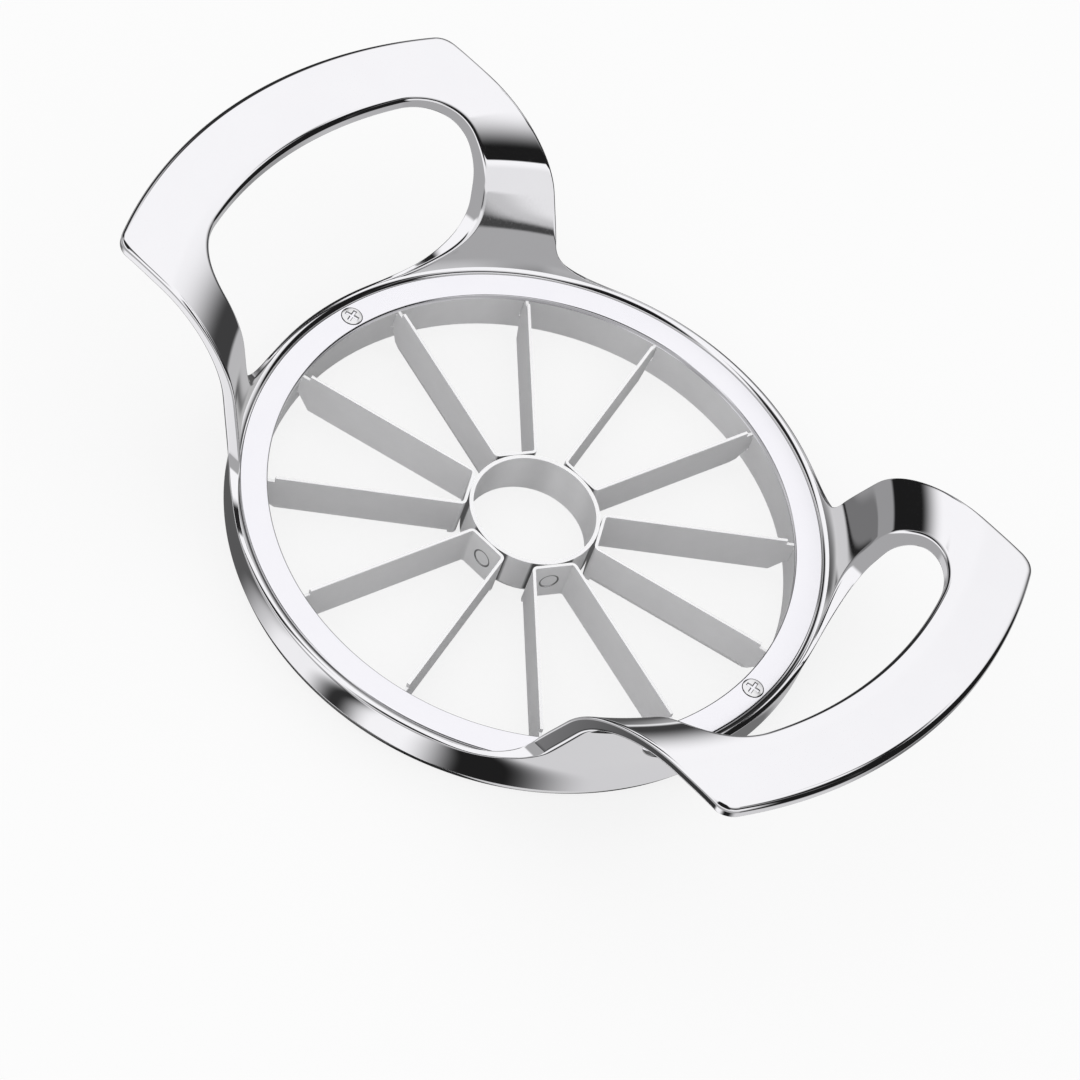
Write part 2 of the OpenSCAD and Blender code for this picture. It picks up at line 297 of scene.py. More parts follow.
def opening_side():
    """Height and half width of the finger opening's side, from the lip up to the grip."""
    lean = math.radians(OPENING_LEAN)
    corner_z = LIP_Z + ROOT_R
    side_z = corner_z - ROOT_R * math.sin(lean)
    side_y = OPENING_Y - (GRIP_Z - side_z) * math.tan(lean)
    corner_y = side_y - ROOT_R * math.cos(lean)
    a = np.linspace(0, math.pi / 2 - lean, 40)
    straight = 30
    z = [corner_z - ROOT_R * np.cos(a), np.linspace(side_z, GRIP_Z, straight)[1:]]
    y = [corner_y + ROOT_R * np.sin(a), np.linspace(side_y, OPENING_Y, straight)[1:]]
    return np.concatenate(z), np.concatenate(y)


def boundary(side):
    """A face's outline for a quarter turn, as rows of s, phi and edge radius."""
    out = []

    def put(s, phi, stretch):
        out.append(np.stack(np.broadcast_arrays(s, phi, EDGE_R[stretch][side]), 1))

    def s_at(z):
        """Length at a height, with the outer face's drop at the lip."""
        fade = np.clip(1 - (z - LIP_Z) / LIP_DROP_RISE, 0, 1) ** 2
        return PROFILE.s_of_z(side, z - (LIP_DROP * fade if side == "under" else 0))

    def phi_at(s, y):
        """Angle at a distance y from the handles' axis."""
        return np.arcsin(y / PROFILE.at(side, s)[0])

    # lip, from the far side to the arm
    s_lip = float(s_at(LIP_Z))
    r_lip = float(PROFILE.at(side, s_lip)[0])
    flare_y = ARM_Y + FLARE_R
    put(s_lip, np.linspace(math.pi / 2, math.asin(flare_y / r_lip), 30)[:-1], "lip")
    # the arm's root
    a = np.radians(np.linspace(0, 90, 24))
    s = s_at(LIP_Z + FLARE_R * (1 - np.cos(a)))
    put(s[:-1], phi_at(s, flare_y - FLARE_R * np.sin(a))[:-1], "flare")
    # side of the arm, up to the grip's corner
    corner_y = ARM_Y - CORNER_R
    corner_x = math.sqrt((GRIP_R - CORNER_R) ** 2 - corner_y ** 2)
    s_corner = float(PROFILE.s_of_r(side, math.hypot(corner_x, ARM_Y)))
    s = np.linspace(float(s[-1]), s_corner, 60)
    put(s[:-1], phi_at(s, ARM_Y)[:-1], "arm")
    # the grip's corner
    tip = math.atan2(corner_y, corner_x)
    a = np.linspace(math.pi / 2, tip, 16)
    x, y = corner_x + CORNER_R * np.cos(a), corner_y + CORNER_R * np.sin(a)
    s = PROFILE.s_of_r(side, np.hypot(x, y))
    put(s[:-1], np.arctan2(y, x)[:-1], "grip")
    # the grip's outer arc, to the mirror plane
    put(float(PROFILE.s_of_r(side, GRIP_R)), np.linspace(tip, 0, 30), "grip")
    # the opening's arc, from the mirror plane
    corner_y = OPENING_Y - OPENING_CORNER_R
    corner_x = math.sqrt((OPENING_R - OPENING_CORNER_R) ** 2 - corner_y ** 2)
    tip = math.atan2(corner_y, corner_x)
    put(float(PROFILE.s_of_r(side, OPENING_R)), np.linspace(0, tip, 22)[:-1], "opening")
    # the opening's corner, drawn in as far as its side leans at that height
    side_z, side_y = opening_side()
    a = np.linspace(tip, math.pi / 2, 34)
    x, y = corner_x + OPENING_CORNER_R * np.cos(a), corner_y + OPENING_CORNER_R * np.sin(a)
    r = np.hypot(x, y)
    s = PROFILE.s_of_r(side, r)
    z = PROFILE.at(side, s)[1]
    y = y - OPENING_Y + np.interp(z, side_z, side_y)
    put(s[:-1], np.arcsin(y / r)[:-1], "opening")
    # the opening's side, down to the lip
    run = np.concatenate([[0], np.cumsum(np.hypot(np.diff(side_z), np.diff(side_y)))])
    down = np.linspace(float(np.interp(float(z[-1]), side_z, run)), 0, 56)
    z, y = np.interp(down, run, side_z), np.interp(down, run, side_y)
    s = s_at(z)
    put(s[:-1], phi_at(s, y)[:-1], "opening")
    # lip under the opening, to the mirror plane
    put(s_lip, np.linspace(float(np.arcsin(y[-1] / r_lip)), 0, 18), "lip")
    # foot, from one mirror plane to the other
    put(FOOT_S, np.linspace(0, math.pi / 2, 73), "foot")
    return np.vstack(out)


def open_runs(phi):
    """Index ranges of the outline's runs from mirror plane to mirror plane."""
    cuts = [i for i in range(1, len(phi)) if phi[i - 1] < 1e-9 and phi[i] < 1e-9]
    return list(zip([0] + cuts, cuts + [len(phi)]))


def softened(values, times=12):
    """Values with the steps between them evened out; both ends stay."""
    v = np.array(values)
    for _ in range(times):
        v[1:-1] = (v[:-2] + 2 * v[1:-1] + v[2:]) / 4
    return v


# A run of a face's rim: its outline, where the rounding starts, the normals there, edge
# radii, and that start as (s, phi)
Rim = namedtuple("Rim", "corner start normal radius plan")


def rim_of(side, run):
    """The rim along a run of a face's outline, set in by the edge radius."""
    s, phi, radius = run[:, 0], run[:, 1], softened(run[:, 2])
    corner = place(side, s, phi)
    tangent = np.gradient(corner, axis=0)
    # square to the mirror planes
    for end, way in ((0, 1), (-1, -1)):
        if abs(phi[end]) < 1e-9:
            tangent[end] = (0, way, 0)
        if abs(phi[end] - math.pi / 2) < 1e-9:
            tangent[end] = (way, 0, 0)
    tangent /= np.linalg.norm(tangent, axis=1, keepdims=True)
    dr, dz, scale = PROFILE.along(side, s)
    along_s = (tangent * np.stack([dr * np.cos(phi), dr * np.sin(phi), dz], -1)).sum(-1)
    along_phi = (tangent * np.stack([-np.sin(phi), np.cos(phi), 0 * phi], -1)).sum(-1)
    size = np.hypot(along_s, along_phi)
    # the outline keeps the sheet on its right, seen with s along X and phi along Y
    inset_s = s + radius * (along_phi / size) / scale
    inset_phi = phi - radius * (along_s / size) / PROFILE.at(side, s)[0]
    return Rim(corner, place(side, inset_s, inset_phi), face_normal(side, inset_s, inset_phi),
               radius, np.stack([inset_s, inset_phi], 1))


def seam(a, b, step=0.9):
    """Points between two runs of the outline, along the mirror plane."""
    count = max(2, int(abs(a[0] - b[0]) / step))
    t = np.linspace(0, 1, count + 1)[1:-1, None]
    return a + (b - a) * t


def inside_of(outline, points, gap):
    """The points inside a closed outline that keep a gap to it."""
    x, y = points[:, 0], points[:, 1]
    inside = np.zeros(len(points), bool)
    near = np.full(len(points), np.inf)
    for (ax, ay), (bx, by) in zip(outline, np.roll(outline, -1, 0)):
        crosses = (ay > y) != (by > y)
        with np.errstate(divide="ignore", invalid="ignore"):
            hit = x < (bx - ax) * (y - ay) / (by - ay + 1e-30) + ax
        inside ^= crosses & hit
        length = max(math.hypot(bx - ax, by - ay), 1e-9)
        t = np.clip(((x - ax) * (bx - ax) + (y - ay) * (by - ay)) / length ** 2, 0, 1)
        near = np.minimum(near, np.hypot(x - ax - t * (bx - ax), y - ay - t * (by - ay)))
    return points[inside & (near > gap)]


def sheet_face(side, rims):
    """A face of the sheet within its rim, as triangles between evenly spread points."""
    # in the plan, angles count as lengths at this radius
    plan_r = 70.0
    # spacing of the points, shift of every other row, and margins to the outline
    row_step, column_step, row_shift = 0.8, 1.15, 0.57
    first_row, first_column, last, gap = 0.7, 0.6, 0.5, 0.35
    outline = []
    for rim, following in zip(rims, rims[1:] + rims[:1]):
        outline += [rim.plan, seam(rim.plan[-1], following.plan[0])]
    outline = np.vstack(outline) * np.array([1.0, plan_r])
    low, high = outline.min(0), outline.max(0)
    rows = np.arange(low[0] + first_row, high[0] - last, row_step)
    columns = np.arange(low[1] + first_column, high[1] - last, column_step)
    grid = np.stack(np.meshgrid(rows, columns, indexing="ij"), -1)
    grid[1::2, :, 1] += row_shift
    points = np.vstack([outline, inside_of(outline, grid.reshape(-1, 2), gap)])
    plan, _, triangles, *_ = delaunay_2d_cdt([Vector(p) for p in points], [],
                                             [list(range(len(outline)))], 1, 1e-7)
    plan = np.array([tuple(p) for p in plan])
    s, phi = plan[:, 0], plan[:, 1] / plan_r
    v, n = place(side, s, phi), face_normal(side, s, phi)
    return v, n, facing_out(v, n, [tuple(t) for t in triangles])


def rounded_rim(top, under, steps=6):
    """The wall between both faces along a run, rounded into each of them."""
    wall = under.corner - top.corner
    length = np.linalg.norm(wall, axis=1, keepdims=True)
    down = wall / np.maximum(length, 1e-9)
    # both roundings fit in the wall: each may take this share of it, or what the other leaves
    share, between = 0.48, 0.02
    span = length[:, 0]
    top_r = np.minimum(top.radius, span * share)
    rest = np.maximum(span * share, span - top.radius - between)
    under_r = np.minimum(under.radius, rest)
    rows, across = [], []
    for a, b, c in ((top.start, top.corner, top.corner + down * top_r[:, None]),
                    (under.corner - down * under_r[:, None], under.corner, under.start)):
        for k in range(steps + 1):
            t = k / steps
            rows.append((1 - t) ** 2 * a + 2 * t * (1 - t) * b + t * t * c)
            across.append(2 * (1 - t) * (b - a) + 2 * t * (c - b))
    rows = np.array(rows)
    normal = np.cross(np.gradient(rows, axis=1), np.array(across))
    normal /= np.maximum(np.linalg.norm(normal, axis=-1, keepdims=True), 1e-12)
    outward = (top.corner + under.corner) / 2 - (top.start + under.start) / 2
    flip = np.sign((normal[len(rows) // 2] * outward).sum(-1))
    flip[flip == 0] = 1
    normal *= np.median(flip)
    # the first and last rows take the faces' own normals
    normal[0], normal[-1] = top.normal, under.normal
    # symmetric at the mirror planes
    for column in (0, -1):
        for axis in (1, 0):
            if abs(rows[0, column, axis]) < 1e-6:
                normal[:, column, axis] = 0
    faces = quads(rows.shape[0], rows.shape[1], closed=False)
    v, n = rows.reshape(-1, 3), normal.reshape(-1, 3)
    return v, n, facing_out(v, n, faces)


def quarter_sheet():
    """A quarter of the skirt and a handle: both faces and the rim between them."""
    out = Builder()
    loops = {side: boundary(side) for side in ("under", "top")}
    runs = open_runs(loops["under"][:, 1])
    rims = {side: [rim_of(side, loop[low:high]) for low, high in runs]
            for side, loop in loops.items()}
    for side in ("under", "top"):
        out.add(*sheet_face(side, rims[side]))
    for top, under in zip(rims["top"], rims["under"]):
        out.add(*rounded_rim(top, under))
    return out.arrays()


def four_ways(v, n, f):
    """A quarter of the casting, mirrored over both planes."""
    out = Builder()
    for sx in (1, -1):
        for sy in (1, -1):
            mirror = np.array([sx, sy, 1.0])
            out.add(v * mirror, n * mirror, f if sx * sy > 0 else [face[::-1] for face in f])
    return out.arrays()


# ---------------------------------------------------------------- ring, bosses and screws

def inner_ring():
    """The casting's lip, its inner wall, the ledge that carries the cover, and the foot."""
    lip_z, outer_r = LIP_Z - 0.004, FOOT_TOP_R + 0.05
    # the lip ends in a ridge that rounds over to the cover's seat
    round_w, round_h, ridge = 1.05, 0.8, math.radians(20)
    wide, deep = round_w / (1 - math.sin(ridge)), round_h / math.cos(ridge)
    ridge_r = SEAT_R + round_w + wide * math.sin(ridge)
    rounding = [(ridge_r - wide * math.sin(u), lip_z - round_h + deep * math.cos(u))
                for u in np.linspace(ridge, math.radians(86), 15)]
    seat_top_z = 9.2
    ledge = [(SEAT_R, COVER_Z), (RIM_R, COVER_Z), (RIM_R, RIM_Z), (LEDGE_R, RIM_Z),
             (LEDGE_R, LEDGE_LOW_Z)]
    fillet = [(57.0, LEDGE_LOW_Z), (57.15, 6.16), (57.3, 6.05), (57.41, 5.9), (SEAT_R, 5.75)]
    foot_inside = [(SEAT_R, 0.3), (57.5, 0.12), (57.62, 0.02), (57.75, 0.0)]
    # the foot's outer edge rolls up to a chamfer, which rounds into the skirt
    roll_r, roll_w, roll_h = 57.95, 0.28, 0.24
    roll = [(roll_r + roll_w * math.sin(u), roll_h - roll_h * math.cos(u))
            for u in np.radians(np.linspace(0, 66, 9))]
    chamfer = [(58.265, 0.3), (59.12, FOOT_S - 0.28), (59.16, FOOT_S - 0.14),
               (59.185, FOOT_S - 0.02), (59.195, FOOT_S + 0.1)]
    profile = []
    for stretch, sharp in (([(outer_r, FOOT_S + 0.6), (outer_r, lip_z)], True),
                           (rounding + [(SEAT_R, seat_top_z)], False), (ledge, True),
                           (fillet + foot_inside + roll + chamfer, False),
                           ([(59.196, FOOT_S + 0.3)], True)):
        profile += [(r, z, sharp) for r, z in stretch]
    return lathe(profile[::-1])


def cover_sheet():
    """The flat cover ring with its rolled upper edges."""
    edge_r = 0.3
    edge_z = RING_Z - edge_r
    profile = []
    for centre_r, start in ((COVER_R - edge_r, 0), (CUT_R + edge_r, 90)):
        profile += [(centre_r + edge_r * math.cos(math.radians(a)),
                     edge_z + edge_r * math.sin(math.radians(a)), False)
                    for a in np.linspace(start, start + 90, 8)]
    profile += [(CUT_R, COVER_Z, True), (COVER_R, COVER_Z, True)]
    return lathe(profile[::-1])


def screw_centre(angle):
    return SCREW_R * math.cos(angle), SCREW_R * math.sin(angle)


def boss(angle):
    """The boss under the ledge that takes a screw, cut off where the band passes it."""
    edge_r, overlap = 0.4, 0.1
    cx, cy = screw_centre(angle)
    # rings from the ledge down: distance in from the side, height, tilt of the normals
    levels = [(0.0, LEDGE_LOW_Z + overlap, 0.0)]
    levels += [(edge_r - edge_r * math.cos(u), BOSS_LOW_Z + edge_r - edge_r * math.sin(u), u)
               for u in np.radians(np.linspace(0, 90, 6))]
    levels += [(BOSS_R * share, BOSS_LOW_Z, math.pi / 2) for share in (0.5, 0.98)]
    ca, sa = circle(72)
    points, normals = [], []
    for inset, z, tilt in levels:
        x, y = cx + (BOSS_R - inset) * ca, cy + (BOSS_R - inset) * sa
        r = np.hypot(x, y)
        limit = BAND_GAP_R + min(inset, edge_r)
        cut = r < limit
        nx, ny = np.where(cut, -x / r, ca), np.where(cut, -y / r, sa)
        x, y = np.where(cut, x * limit / r, x), np.where(cut, y * limit / r, y)
        points.append(ring_of(x, y, z))
        normals.append(ring_of(nx * math.cos(tilt), ny * math.cos(tilt), -math.sin(tilt)))
    return stack_of_rings(points, normals)


def casting():
    """The whole casting: skirt and handles, inner ring and both screw bosses."""
    out = Builder()
    out.add(*four_ways(*quarter_sheet()))
    out.add(*inner_ring())
    for angle, _ in SCREWS:
        out.add(*boss(angle))
    return out.arrays()


def recess_depth(x, y):
    """Depth of the cross recess at points of a screw's head."""
    x, y = np.abs(x), np.abs(y)
    inside = np.maximum(np.minimum(RECESS_ARM - x, RECESS_HALF - y),
                        np.minimum(RECESS_ARM - y, RECESS_HALF - x))
    t = np.clip(inside / RECESS_WALL, 0, 1)
    return RECESS_DEPTH * t * t * (3 - 2 * t)


def head_height(x, y):
    """Height of a screw's head at points counted from its axis."""
    crown = HEAD_CROWN * (1 - (x * x + y * y) / (HEAD_R * HEAD_R))
    return RING_Z + HEAD_LIFT + crown - recess_depth(x, y)


def screw(angle, turn):
    """A countersunk screw: crowned head with its cross recess, cone and shank."""
    # slopes are measured over this step; the head and the end close with a small face
    nudge, head_close_r, end_close_r = 0.02, 0.06, 0.05
    ca, sa = circle(96)
    flat_r = HEAD_R - HEAD_EDGE_R
    points, normals = [], []
    for r in np.linspace(head_close_r, flat_r, 26):
        x, y = r * ca, r * sa
        slope_x = (head_height(x + nudge, y) - head_height(x - nudge, y)) / (2 * nudge)
        slope_y = (head_height(x, y + nudge) - head_height(x, y - nudge)) / (2 * nudge)
        points.append(ring_of(x, y, head_height(x, y)))
        normals.append(ring_of(-slope_x, -slope_y, 1.0))
    # the head's rounded edge: radius, height, and the normals' parts outwards and up
    edge_z = float(head_height(flat_r, 0.0)) - HEAD_EDGE_R
    start = math.atan(2 * HEAD_CROWN / HEAD_R * flat_r / HEAD_R)
    rings = [(flat_r + HEAD_EDGE_R * math.sin(u), edge_z + HEAD_EDGE_R * math.cos(u),
              math.sin(u), math.cos(u)) for u in np.linspace(start, math.pi / 2, 9)[1:]]
    # the head's side, cone, shank and end, each with the tilt of its normals
    cone, side_z, end_z = -math.pi / 4, edge_z - 0.12, RING_Z - SCREW_L
    side_edge, shank_from, end_edge = 0.03, 1.0, 0.3
    below = [(HEAD_R, side_z, 0.0), (HEAD_R - side_edge, side_z - side_edge, cone),
             (SHANK_R, side_z - (HEAD_R - SHANK_R), cone), (SHANK_R, side_z - shank_from, 0.0),
             (SHANK_R, end_z + end_edge, 0.0), (SHANK_R - end_edge, end_z, -math.pi / 2),
             (end_close_r, end_z, -math.pi / 2)]
    rings += [(r, z, math.cos(tilt), math.sin(tilt)) for r, z, tilt in below]
    for r, z, out, up in rings:
        points.append(ring_of(r * ca, r * sa, z))
        normals.append(ring_of(out * ca, out * sa, up))
    v, n, faces = stack_of_rings(points, normals, capped=True)
    c, s = math.cos(turn), math.sin(turn)
    spin = np.array([[c, -s, 0], [s, c, 0], [0, 0, 1]])
    return v @ spin.T + np.array([*screw_centre(angle), 0]), n @ spin.T, faces


def in_recess(x, y):
    """Whether a point lies in a screw's cross recess, below the soft edge of its walls."""
    soft_edge = 0.12
    depths = []
    for angle, turn in SCREWS:
        cx, cy = screw_centre(angle)
        c, s = math.cos(turn), math.sin(turn)
        depths.append(recess_depth(c * (x - cx) + s * (y - cy), c * (y - cy) - s * (x - cx)))
    return max(depths) > soft_edge


def from_screw_axis(x, y):
    return min(math.hypot(x - cx, y - cy) for cx, cy in (screw_centre(a) for a, _ in SCREWS))


# ---------------------------------------------------------------- materials

def new_node(tree, kind, **values):
    """A node; values named in0, in1 ... go to its inputs, others to its properties."""
    node = tree.nodes.new(kind)
    for key, value in values.items():
        if key[:2] == "in" and key[2:].isdigit():
            node.inputs[int(key[2:])].default_value = value
        else:
            setattr(node, key, value)
    return node


def calc(t, operation, *values):
    """A math node's output; values are numbers or other nodes' outputs."""
    node = new_node(t, "ShaderNodeMath", operation=operation)
    for k, value in enumerate(values):
        if isinstance(value, (int, float)):
            node.inputs[k].default_value = value
        else:
            t.links.new(value, node.inputs[k])
    return node.outputs[0]


def metal(name, metallic=1.0):
    """A metal, its node tree and its shader."""
    material = bpy.data.materials.new(name)
    material.use_nodes = True
    shader = material.node_tree.nodes["Principled BSDF"]
    shader.inputs["Metallic"].default_value = metallic
    return material, material.node_tree, shader


def noise(t, size, stretch=(1, 1, 1), detail=3.0, rough=0.6):
    """Noise over the object, finer along an axis by that axis's stretch."""
    mapping = new_node(t, "ShaderNodeMapping", in3=stretch)
    pattern = new_node(t, "ShaderNodeTexNoise")
    pattern.inputs["Scale"].default_value = size
    pattern.inputs["Detail"].default_value = detail
    pattern.inputs["Roughness"].default_value = rough
    t.links.new(new_node(t, "ShaderNodeTexCoord").outputs["Object"], mapping.inputs[0])
    t.links.new(mapping.outputs[0], pattern.inputs["Vector"])
    return pattern.outputs[0]


def spread(t, value, source, target, **values):
    """A value mapped from the source range to the target range, held at its ends."""
    node = new_node(t, "ShaderNodeMapRange", in1=source[0], in2=source[1],
                    in3=target[0], in4=target[1], **values)
    t.links.new(value, node.inputs[0])
    return node.outputs[0]


def blend(t, factor, a, b):
    """A mix of two colours, each a triple or another node's output."""
    node = new_node(t, "ShaderNodeMix", data_type="RGBA")
    t.links.new(factor, node.inputs[0])
    for colour, socket in ((a, node.inputs[6]), (b, node.inputs[7])):
        if isinstance(colour, tuple):
            socket.default_value = (*colour, 1)
        else:
            t.links.new(colour, socket)
    return node.outputs[2]


def bumped(t, shader, height, strength, distance):
    """Gives a shader fine relief; the distance is in metres."""
    node = new_node(t, "ShaderNodeBump")
    node.inputs["Strength"].default_value = strength
    node.inputs["Distance"].default_value = distance
    t.links.new(height, node.inputs["Height"])
    t.links.new(node.outputs[0], shader.inputs["Normal"])


def chrome():
    """Mirror-polished plating with a faint haze of fine wiping marks."""
    material, t, shader = metal("chrome")
    haze = noise(t, 90, detail=4)
    marks = noise(t, 240, stretch=(1, 14, 5), detail=2)
    rough = spread(t, calc(t, "MULTIPLY", haze, marks), (0.15, 0.42), (0.015, 0.055))
    colour = blend(t, haze, (0.9, 0.897, 0.922), (0.93, 0.928, 0.948))
    t.links.new(rough, shader.inputs["Roughness"])
    t.links.new(colour, shader.inputs["Base Color"])
    return material


def cover_metal():
    """Bright rolled sheet, a little softer than the plating."""
    material, t, shader = metal("cover")
    haze = noise(t, 120, detail=4)
    grain = noise(t, 180, stretch=(2, 30, 2))
    rough = spread(t, grain, (0.3, 0.7), (0.1, 0.17))
    colour = blend(t, haze, (0.905, 0.9, 0.945), (0.935, 0.93, 0.965))
    t.links.new(rough, shader.inputs["Roughness"])
    t.links.new(colour, shader.inputs["Base Color"])
    bumped(t, shader, grain, 0.05, 0.00002)
    return material


def painted_foot_shade(t):
    """Painted shade at each strip's foot: a dark ring along its weld's dimple rim, and dark in the
    gap to the core ring.
    """
    weld_z, weld_r, foot_out, core_out = 4.75, 1.8, 13.52, 12.9
    feet_from, feet_step = math.pi / 6, math.pi / 3

    def length(a, b):
        return calc(t, "SQRT", calc(t, "ADD", calc(t, "MULTIPLY", a, a), calc(t, "MULTIPLY", b, b)))

    def distance(a, b):
        return calc(t, "ABSOLUTE", calc(t, "SUBTRACT", a, b))

    def fade(value, start, end, target):
        """A length mapped between two lengths in millimetres."""
        return spread(t, value, (start * MM, end * MM), target)

    parts = new_node(t, "ShaderNodeSeparateXYZ")
    t.links.new(new_node(t, "ShaderNodeTexCoord").outputs["Object"], parts.inputs[0])
    x, y, z = parts.outputs[:3]
    radius = length(x, y)
    # the same place on every foot: angle from the foot's middle, then across and outwards
    around = calc(t, "WRAP", calc(t, "ARCTAN2", y, x), feet_step, 0.0)
    turn = calc(t, "SUBTRACT", around, feet_from)
    across = calc(t, "MULTIPLY", radius, calc(t, "SINE", turn))
    outwards = calc(t, "MULTIPLY", radius, calc(t, "COSINE", turn))

    from_weld = length(across, calc(t, "SUBTRACT", z, weld_z * MM))
    # painted shade along the rim of the weld's dimple
    rim = fade(distance(from_weld, weld_r * MM), 0.08, 0.24, (1.0, 0.0))
    face = fade(distance(outwards, foot_out * MM), 0.15, 0.25, (1.0, 0.0))
    beside = fade(calc(t, "ABSOLUTE", across), 4.0, 4.5, (1.0, 0.0))
    outside = fade(radius, core_out - 0.1, core_out - 0.03, (0.0, 1.0))
    inside = fade(outwards, core_out + 0.1, core_out + 0.2, (1.0, 0.0))
    # painted shade in the gap between the foot and the core ring
    gap = calc(t, "MULTIPLY", calc(t, "MULTIPLY", beside, outside), inside)
    return calc(t, "MAXIMUM", calc(t, "MULTIPLY", rim, face), gap)


def blade_metal():
    """Satin blade steel; faces that look up get a painted highlight, and are smoother."""
    material, t, shader = metal("blade", 0.55)
    cloud = noise(t, 160, detail=5, rough=0.65)
    grain = noise(t, 300, stretch=(1, 1, 40))
    parts = new_node(t, "ShaderNodeSeparateXYZ")
    t.links.new(new_node(t, "ShaderNodeTexCoord").outputs["Normal"], parts.inputs[0])
    # painted highlight on faces that look up; the same mask also makes them smoother
    painted_top_highlight = spread(t, parts.outputs[2], (0.6, 0.9), (0.0, 1.0))

    steel = blend(t, cloud, (0.77, 0.77, 0.778), (0.86, 0.86, 0.87))
    # painted shade at the strips' feet, near black
    steel = blend(t, painted_foot_shade(t), steel, (0.12, 0.12, 0.123))
    # painted highlight: faces that look up turn near white
    steel = blend(t, painted_top_highlight, steel, (0.97, 0.97, 0.98))
    t.links.new(steel, shader.inputs["Base Color"])

    top_rough = 0.25
    rough = new_node(t, "ShaderNodeMix", data_type="FLOAT", in3=top_rough)
    t.links.new(painted_top_highlight, rough.inputs[0])
    t.links.new(spread(t, grain, (0.3, 0.7), (0.4, 0.52)), rough.inputs[2])
    t.links.new(rough.outputs[0], shader.inputs["Roughness"])
    bumped(t, shader, grain, 0.12, 0.00003)
    return material


def screw_metal(name, dark, light):
    """Zinc-plated steel, in two tones."""
    material, t, shader = metal(name)
    cloud = noise(t, 500)
    t.links.new(spread(t, cloud, (0.3, 0.7), (0.12, 0.24)), shader.inputs["Roughness"])
    t.links.new(blend(t, cloud, dark, light), shader.inputs["Base Color"])
    return material


CHROME, COVER, BLADE = chrome(), cover_metal(), blade_metal()
# The screws are bright on the head; their recess and the gap round the head get painted shade,
# darkest in the gap
SCREW = screw_metal("screw", (0.82, 0.82, 0.835), (0.92, 0.92, 0.93))
RECESS_SHADE = screw_metal("screw_recess_painted_shade", (0.2, 0.2, 0.205), (0.34, 0.34, 0.345))
HEAD_GAP_SHADE = screw_metal("screw_gap_painted_shade", (0.05, 0.05, 0.052), (0.11, 0.11, 0.113))


def dress(obj, material):
    """Puts one material on a whole object, in each slot that it has."""
    slots = obj.data.materials
    for i in range(len(slots)):
        slots[i] = material
    if not slots:
        slots.append(material)


# ---------------------------------------------------------------- the pieces

body = add_mesh("casting_shell", *weld(*casting()))
dress(body, CHROME)
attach(body, "root")
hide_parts("cast_body")

cover = add_mesh("cover_sheet", *weld(*cover_sheet()))
dress(cover, COVER)
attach(cover, "root")
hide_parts("cover_ring")

STEEL = [NODES[name] for name in
         ["blade_band", "core_ring"] + [f"blade_strip_{i}" for i in range(1, 7)]]
for node in STEEL:
    dress(node, BLADE)

screws = Builder()
for angle, turn in SCREWS:
    screws.add(*screw(angle, turn))
screw_pair = add_mesh("screw_pair", *screws.arrays())
for material in (SCREW, RECESS_SHADE, HEAD_GAP_SHADE):
    screw_pair.data.materials.append(material)
for face in screw_pair.data.polygons:
    corners = [screw_pair.data.vertices[i].co for i in face.vertices]
    x, y, z = np.mean(corners, 0) / MM
    # faces deep in the cross recess get painted shade
    if z > RING_Z - RECESS_DEPTH and in_recess(x, y):
        face.material_index = 1
    # faces in the gap round the head get darker painted shade
    elif from_screw_axis(x, y) > HEAD_GAP_R:
        face.material_index = 2
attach(screw_pair, "root")
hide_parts("cover_screws")

# the metal mirrors the studio below, and not its own neighbours
for piece in [body, cover, screw_pair] + STEEL:
    piece.visible_glossy = False


# ---------------------------------------------------------------- floor, light and camera

def pale_floor():
    """A pale floor that is nearly white to the camera and keeps the object's shadow."""
    # half its side and its gap below the object, in metres; how much of it is plain white
    half, below, glow = 3, 0.0002, 0.8
    mesh = bpy.data.meshes.new("floor")
    mesh.from_pydata([(-half, -half, 0), (half, -half, 0), (half, half, 0), (-half, half, 0)],
                     [], [(0, 1, 2, 3)])
    material = bpy.data.materials.new("floor")
    material.use_nodes = True
    t = material.node_tree
    t.nodes.clear()
    pale = new_node(t, "ShaderNodeBsdfDiffuse", in0=(0.92, 0.92, 0.92, 1))
    white = new_node(t, "ShaderNodeEmission", in0=(1, 1, 1, 1), in1=1.0)
    ray = new_node(t, "ShaderNodeLightPath")
    mix = new_node(t, "ShaderNodeMixShader")
    t.links.new(calc(t, "MULTIPLY", ray.outputs["Is Camera Ray"], glow), mix.inputs[0])
    t.links.new(pale.outputs[0], mix.inputs[1])
    t.links.new(white.outputs[0], mix.inputs[2])
    t.links.new(mix.outputs[0], new_node(t, "ShaderNodeOutputMaterial").inputs[0])
    mesh.materials.append(material)
    obj = bpy.data.objects.new("floor", mesh)
    obj.location = (0, 0, -below)
    obj.visible_glossy = False
    bpy.context.scene.collection.objects.link(obj)
    return obj


floor = pale_floor()

# The studio as mirrors see it: level directions straight ahead of the camera and to its left
AHEAD = (-0.43044, 0.90262, 0.0)
LEFT = (-AHEAD[1], AHEAD[0], 0.0)

